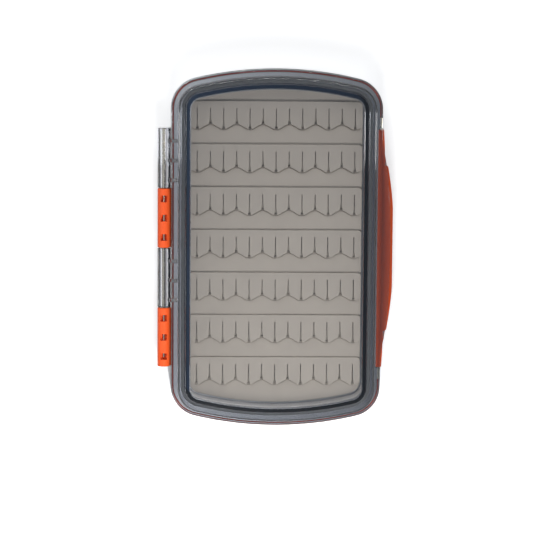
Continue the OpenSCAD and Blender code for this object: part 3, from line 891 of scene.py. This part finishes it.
# %% Finger hollow and bore
HOLLOW_L = 56
LATCH_WALL = 1.4
hollow_line = [(grip_edge(HOLLOW_L / 2 * k / 20) - LATCH_WALL, HOLLOW_L / 2 * k / 20) for k in range(-20, 21)]
hollow_in = LATCH_BACK + LATCH_WALL
hollow = bevel(loft("hollow", upright_rings(
    [(hollow_in, -HOLLOW_L / 2)] + hollow_line + [(hollow_in, HOLLOW_L / 2)], LATCH_LOW - 1, 15.45)), 0.5)
latch_bore = rod(LATCH_X, LATCH_Z, 0.65, -LATCH_L, LATCH_L, sides=32)
combine(latch, [hollow, latch_bore], "DIFFERENCE")
finish_piece(latch, "latch", "latch", NYLON)

# %% [markdown]
# ## The tape
#
# The tape under the insert is a plain flat sheet, and the model's own node has its right shape,
# so it only gets its material.

# %% Tape material
tape = frame["nodes"]["insert_tape"]
tape.data.materials.clear()
tape.data.materials.append(TAPE)

# %% [markdown]
# ## Floor and light
#
# The case lies on a plain white sweep. A large soft lamp stands past the upper end of the case,
# as in the photograph, where the lower side of each edge is the darker one. The rest of the
# light is an even pale sky. For the camera the floor is lifted to white, and it still takes the
# case's shadow. What is seen in and through the plastic is painted shade and light: a grey
# sheet that fades to near black away from the case, painted lighter to the left and darker to
# the right.

# %% Floor
def white_sweep():
    """White paper for the camera. What is seen in and through the plastic is painted shade: a
    grey sheet with a dark room round it, painted lighter to the left and darker to the right."""
    material, tree = new_material("white_sweep")
    path = add(tree, "ShaderNodeLightPath")
    place = add(tree, "ShaderNodeTexCoord")
    away = add(tree, "ShaderNodeVectorMath", {0: place.outputs["Object"]}, operation="LENGTH")
    # Painted shade: near the case the sheet is grey, and beyond 0.12 m it fades to near black.
    grey = add(tree, "ShaderNodeMapRange", {"Value": away.outputs["Value"], "From Min": 0.12, "From Max": 0.19,
                                            "To Min": 0.62, "To Max": 0.02})
    parts = add(tree, "ShaderNodeSeparateXYZ", {0: place.outputs["Object"]})
    # Painted light and shade: the sheet is lighter to the left and darker to the right.
    side = add(tree, "ShaderNodeMapRange", {"Value": parts.outputs["X"], "From Min": -0.055, "From Max": 0.06,
                                            "To Min": 1.45, "To Max": 0.5})
    shade = add(tree, "ShaderNodeMath", {0: grey.outputs[0], 1: side.outputs[0]}, operation="MULTIPLY")
    tone = add(tree, "ShaderNodeMix", {0: path.outputs["Is Camera Ray"], 6: shade.outputs[0],
                                       7: linear("#eeeeee")}, data_type="RGBA")
    lift = add(tree, "ShaderNodeMath", {0: path.outputs["Is Camera Ray"], 1: 0.45}, operation="MULTIPLY")
    paper = add(tree, "ShaderNodeBsdfDiffuse", {"Color": tone.outputs[2]})
    glow = add(tree, "ShaderNodeEmission", {"Strength": lift.outputs[0]})
    both = add(tree, "ShaderNodeAddShader", {0: paper.outputs[0], 1: glow.outputs[0]})
    add(tree, "ShaderNodeOutputMaterial", {"Surface": both.outputs[0]})
    return material


deselect()
bpy.ops.mesh.primitive_plane_add(size=6, location=(0, 0, -0.0002))
floor = bpy.context.object
floor.name = "floor"
floor.data.materials.append(white_sweep())


# %% Lamps and sky
def soft_lamp(name, place, aim, size, watts):
    """A square lamp at place that looks at aim."""
    deselect()
    bpy.ops.object.light_add(type="AREA", location=place)
    lamp = bpy.context.object
    lamp.name = name
    lamp.data.size = size
    lamp.data.energy = watts
    lamp.visible_transmission = False
    lamp.rotation_euler = (Vector(place) - Vector(aim)).to_track_quat("Z", "Y").to_euler()
    return lamp


key = soft_lamp("key_lamp", (-0.05, 0.62, 1.05), (0, 0, 0.02), 0.8, 3.2)
key.data.shape = "RECTANGLE"
key.data.size_y = 0.1
fill = soft_lamp("fill_lamp", (0, -0.1, 0.24), (0, -0.1, 0), 0.1, 0.55)
fill.visible_glossy = False
for side in (-1, 1):
    strip = soft_lamp("strip_lamp", (side * 0.9, 0, 0.75), (0, 0, 0.02), 0.06, 1.0)
    strip.data.shape = "RECTANGLE"
    strip.data.size_y = 1.2
    strip.visible_transmission = side > 0


def studio_sky():
    """Bright overhead and dark towards the horizon, and plain white for the camera."""
    world = bpy.data.worlds.new("studio_sky")
    world.use_nodes = True
    tree = world.node_tree
    tree.nodes.clear()
    place = add(tree, "ShaderNodeTexCoord")
    parts = add(tree, "ShaderNodeSeparateXYZ", {0: place.outputs["Generated"]})
    level = add(tree, "ShaderNodeValToRGB", {0: parts.outputs["Z"]})
    ramp = level.color_ramp
    ramp.elements[0].position, ramp.elements[0].color = 0.15, (0.015, 0.025, 0.045, 1)
    ramp.elements[1].position, ramp.elements[1].color = 0.97, (0.2, 0.24, 0.3, 1)
    for place_at, tone in ((0.45, 0.4), (0.85, 0.55)):
        ramp.elements.new(place_at).color = (tone, tone, tone, 1)
    side = add(tree, "ShaderNodeMapRange", {"Value": parts.outputs["X"], "From Min": -0.7, "From Max": 0.7,
                                            "To Min": 1.5, "To Max": 0.4})
    dome = add(tree, "ShaderNodeBackground", {"Color": level.outputs[0], "Strength": side.outputs[0]})
    white = add(tree, "ShaderNodeBackground", {"Color": (1, 1, 1, 1), "Strength": 1.0})
    path = add(tree, "ShaderNodeLightPath")
    both = add(tree, "ShaderNodeMixShader", {0: path.outputs["Is Camera Ray"], 1: dome.outputs[0],
                                             2: white.outputs[0]})
    add(tree, "ShaderNodeOutputWorld", {"Surface": both.outputs[0]})
    return world


bpy.context.scene.world = studio_sky()
bpy.context.scene.view_settings.view_transform = "Standard"
